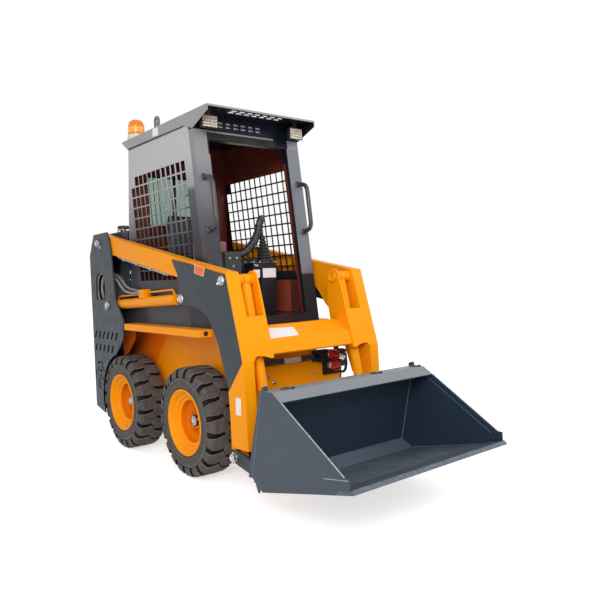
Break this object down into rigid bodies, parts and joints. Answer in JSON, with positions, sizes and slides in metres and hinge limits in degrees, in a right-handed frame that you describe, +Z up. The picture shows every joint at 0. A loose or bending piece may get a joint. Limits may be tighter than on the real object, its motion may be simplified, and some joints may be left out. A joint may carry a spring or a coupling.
{
  "type": "skid steer loader",
  "caption": "Compact skid steer loader with lugged tyres, an open-front cage cab, twin lift arms with hydraulic cylinders and a wide tilting bucket.",
  "frame": {"origin": "on the ground under the middle of the whole machine, at the middle of its bounding box", "axes": "+X forward, towards the bucket; +Y to the machine's left; +Z up"},
  "size_m": [2.895, 1.08, 2.287],
  "materials": {
    "orange_paint": "gloss orange enamel",
    "dark_grey_paint": "satin dark grey enamel",
    "cab_grey_paint": "gloss grey enamel",
    "bucket_paint": "satin blue-grey enamel",
    "worn_steel": "worn bare steel",
    "bare_steel": "machined steel",
    "rod_chrome": "hard chrome",
    "tyre_rubber": "moulded rubber",
    "black_plastic": "textured black",
    "seat_cover": "black vinyl",
    "primer_brown": "red-brown primer",
    "engine_dark": "painted casting",
    "window_glass": "tinted glass",
    "amber_lens": "moulded amber lens",
    "pale_plastic": "pale plastic",
    "lamp_glass": "clear ribbed lens",
    "hose_rubber": "spiral-wrapped rubber",
    "hose_pale": "pale braided sleeve"
  },
  "bodies": {
    "chassis": {"hull": "orange_paint", "front_plate": "orange_paint", "fenders": "orange_paint", "axle_housings": "bare_steel", "engine_block": "engine_dark", "tower_right": "dark_grey_paint", "tower_left": "dark_grey_paint", "tower_pins": "bare_steel", "hood": "dark_grey_paint", "filler_cap": "black_plastic", "door_hinges": "dark_grey_paint", "cab_side_right": "cab_grey_paint", "cab_side_left": "cab_grey_paint", "cab_front_frame": "cab_grey_paint", "cab_rear_panel": "cab_grey_paint", "cab_rear_glass": "window_glass", "cab_floor": "cab_grey_paint", "cab_roof": "cab_grey_paint", "lifting_eyes": "cab_grey_paint", "beacon_base": "pale_plastic", "beacon_lens": "amber_lens", "work_lights": "lamp_glass", "grab_handles": "black_plastic", "seat": "seat_cover", "seat_box": "primer_brown", "console": "black_plastic", "control_levers": "black_plastic", "aux_hose": "hose_rubber", "aux_couplers": "bare_steel", "engine_panels": "dark_grey_paint"},
    "rear_door": {"rear_door": "dark_grey_paint"},
    "lift_arms": {"arm_right": "orange_paint", "arm_left": "orange_paint", "arm_plates": "dark_grey_paint", "arm_crossbeam": "orange_paint", "arm_pins": "bare_steel", "arm_pipes": "bare_steel"},
    "bucket": {"bucket_shell": "bucket_paint", "cutting_edge": "worn_steel", "carrier": "dark_grey_paint", "bucket_pins": "bare_steel"},
    "wheel_front_right": {"rim_front_right": "orange_paint", "tyre_front_right": "tyre_rubber"},
    "wheel_front_left": {"rim_front_left": "orange_paint", "tyre_front_left": "tyre_rubber"},
    "wheel_rear_right": {"rim_rear_right": "orange_paint", "tyre_rear_right": "tyre_rubber"},
    "wheel_rear_left": {"rim_rear_left": "orange_paint", "tyre_rear_left": "tyre_rubber"},
    "lift_barrel_right": {"lift_barrel_right": "orange_paint", "lift_hoses_right": "hose_pale"},
    "lift_rod_right": {"lift_rod_right": "rod_chrome"},
    "lift_barrel_left": {"lift_barrel_left": "orange_paint", "lift_hoses_left": "hose_pale"},
    "lift_rod_left": {"lift_rod_left": "rod_chrome"},
    "tilt_barrel_right": {"tilt_barrel_right": "orange_paint"},
    "tilt_rod_right": {"tilt_rod_right": "rod_chrome"},
    "tilt_barrel_left": {"tilt_barrel_left": "orange_paint"},
    "tilt_rod_left": {"tilt_rod_left": "rod_chrome"}
  },
  "joints": [
    {"name": "arm_lift", "type": "hinge", "parent": "chassis", "child": "lift_arms", "pos_m": [-1.2535, 0, 1.456], "axis": [0, -1, 0], "range_deg": [-2, 60]},
    {"name": "bucket_tilt", "type": "hinge", "parent": "lift_arms", "child": "bucket", "pos_m": [0.4995, 0, 0.23], "axis": [0, -1, 0], "range_deg": [-110, 12]},
    {"name": "rear_door_swing", "type": "hinge", "parent": "chassis", "child": "rear_door", "pos_m": [-1.4395, 0.388, 0.86], "axis": [0, 0, -1], "range_deg": [0, 100]},
    {"name": "wheel_front_right_roll", "type": "hinge", "parent": "chassis", "child": "wheel_front_right", "pos_m": [-0.0465, -0.3925, 0.32498], "axis": [0, 1, 0], "continuous": true},
    {"name": "wheel_front_left_roll", "type": "hinge", "parent": "chassis", "child": "wheel_front_left", "pos_m": [-0.0465, 0.3925, 0.32498], "axis": [0, 1, 0], "continuous": true},
    {"name": "wheel_rear_right_roll", "type": "hinge", "parent": "chassis", "child": "wheel_rear_right", "pos_m": [-0.9525, -0.3925, 0.32498], "axis": [0, 1, 0], "continuous": true},
    {"name": "wheel_rear_left_roll", "type": "hinge", "parent": "chassis", "child": "wheel_rear_left", "pos_m": [-0.9525, 0.3925, 0.32498], "axis": [0, 1, 0], "continuous": true},
    {"name": "lift_barrel_right_swing", "type": "hinge", "parent": "chassis", "child": "lift_barrel_right", "pos_m": [-1.1125, -0.44, 1.006], "axis": [0, -1, 0], "range_deg": [-2, 55.6]},
    {"name": "lift_rod_right_slide", "type": "slide", "parent": "lift_barrel_right", "child": "lift_rod_right", "axis": [0.999, 0, 0.0454], "range_m": [-0.017, 0.461]},
    {"name": "lift_barrel_left_swing", "type": "hinge", "parent": "chassis", "child": "lift_barrel_left", "pos_m": [-1.1125, 0.44, 1.006], "axis": [0, -1, 0], "range_deg": [-2, 55.6]},
    {"name": "lift_rod_left_slide", "type": "slide", "parent": "lift_barrel_left", "child": "lift_rod_left", "axis": [0.999, 0, 0.0454], "range_m": [-0.017, 0.461]},
    {"name": "tilt_barrel_right_swing", "type": "hinge", "parent": "lift_arms", "child": "tilt_barrel_right", "pos_m": [0.4385, -0.347, 1.155], "axis": [0, -1, 0], "range_deg": [-5.7, 0.8]},
    {"name": "tilt_rod_right_slide", "type": "slide", "parent": "tilt_barrel_right", "child": "tilt_rod_right", "axis": [0.228, 0, -0.9737], "range_m": [-0.033, 0.288]},
    {"name": "tilt_barrel_left_swing", "type": "hinge", "parent": "lift_arms", "child": "tilt_barrel_left", "pos_m": [0.4385, 0.347, 1.155], "axis": [0, -1, 0], "range_deg": [-5.7, 0.8]},
    {"name": "tilt_rod_left_slide", "type": "slide", "parent": "tilt_barrel_left", "child": "tilt_rod_left", "axis": [0.228, 0, -0.9737], "range_m": [-0.033, 0.288]}
  ],
  "couplings": [
    {"joint": "lift_barrel_right_swing", "follows": "arm_lift", "ratio": 0.92427},
    {"joint": "lift_rod_right_slide", "follows": "arm_lift", "m_per_rad": 0.43924},
    {"joint": "lift_barrel_left_swing", "follows": "arm_lift", "ratio": 0.92427},
    {"joint": "lift_rod_left_slide", "follows": "arm_lift", "m_per_rad": 0.43924},
    {"joint": "tilt_barrel_right_swing", "follows": "bucket_tilt", "ratio": 0.050576},
    {"joint": "tilt_rod_right_slide", "follows": "bucket_tilt", "m_per_rad": -0.14897},
    {"joint": "tilt_barrel_left_swing", "follows": "bucket_tilt", "ratio": 0.050576},
    {"joint": "tilt_rod_left_slide", "follows": "bucket_tilt", "m_per_rad": -0.14897}
  ]
}
